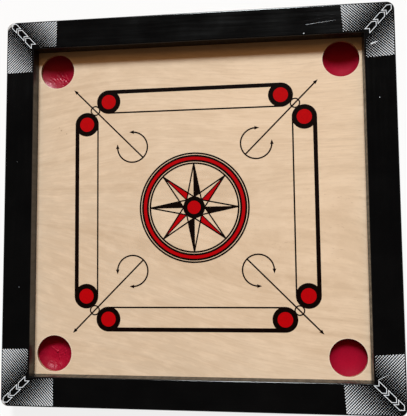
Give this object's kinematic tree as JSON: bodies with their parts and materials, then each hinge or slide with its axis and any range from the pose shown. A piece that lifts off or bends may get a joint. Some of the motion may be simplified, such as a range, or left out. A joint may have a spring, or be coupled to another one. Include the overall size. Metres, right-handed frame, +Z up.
{
  "type": "carrom board",
  "caption": "Square carrom board: gloss black mitred rails round a plywood playing panel with printed lines, a round pocket in each corner and a crimson cloth bag under each pocket.",
  "frame": {"origin": "middle of the underside, on the surface that the board rests on", "axes": "+Z up out of the playing surface, +Y towards the far rail, +X towards the right rail"},
  "size_m": [0.508, 0.508, 0.032],
  "materials": {
    "rail_paint": "gloss black paint on softwood",
    "plywood": "satin varnish over birch plywood",
    "batten_wood": "planed softwood, bare",
    "pocket_cloth": "soft satin cloth",
    "steel": "plain bright steel"
  },
  "bodies": {
    "root": {"rail_far": "rail_paint", "rail_near": "rail_paint", "rail_left": "rail_paint", "rail_right": "rail_paint", "playing_panel": "plywood", "batten_long": "batten_wood", "batten_cross": "batten_wood", "pocket_bag_far_left": "pocket_cloth", "pocket_bag_far_right": "pocket_cloth", "pocket_bag_near_left": "pocket_cloth", "pocket_bag_near_right": "pocket_cloth", "pocket_tacks": "steel", "batten_pins": "steel", "batten_screws": "steel", "corner_nails": "steel"}
  },
  "joints": []
}
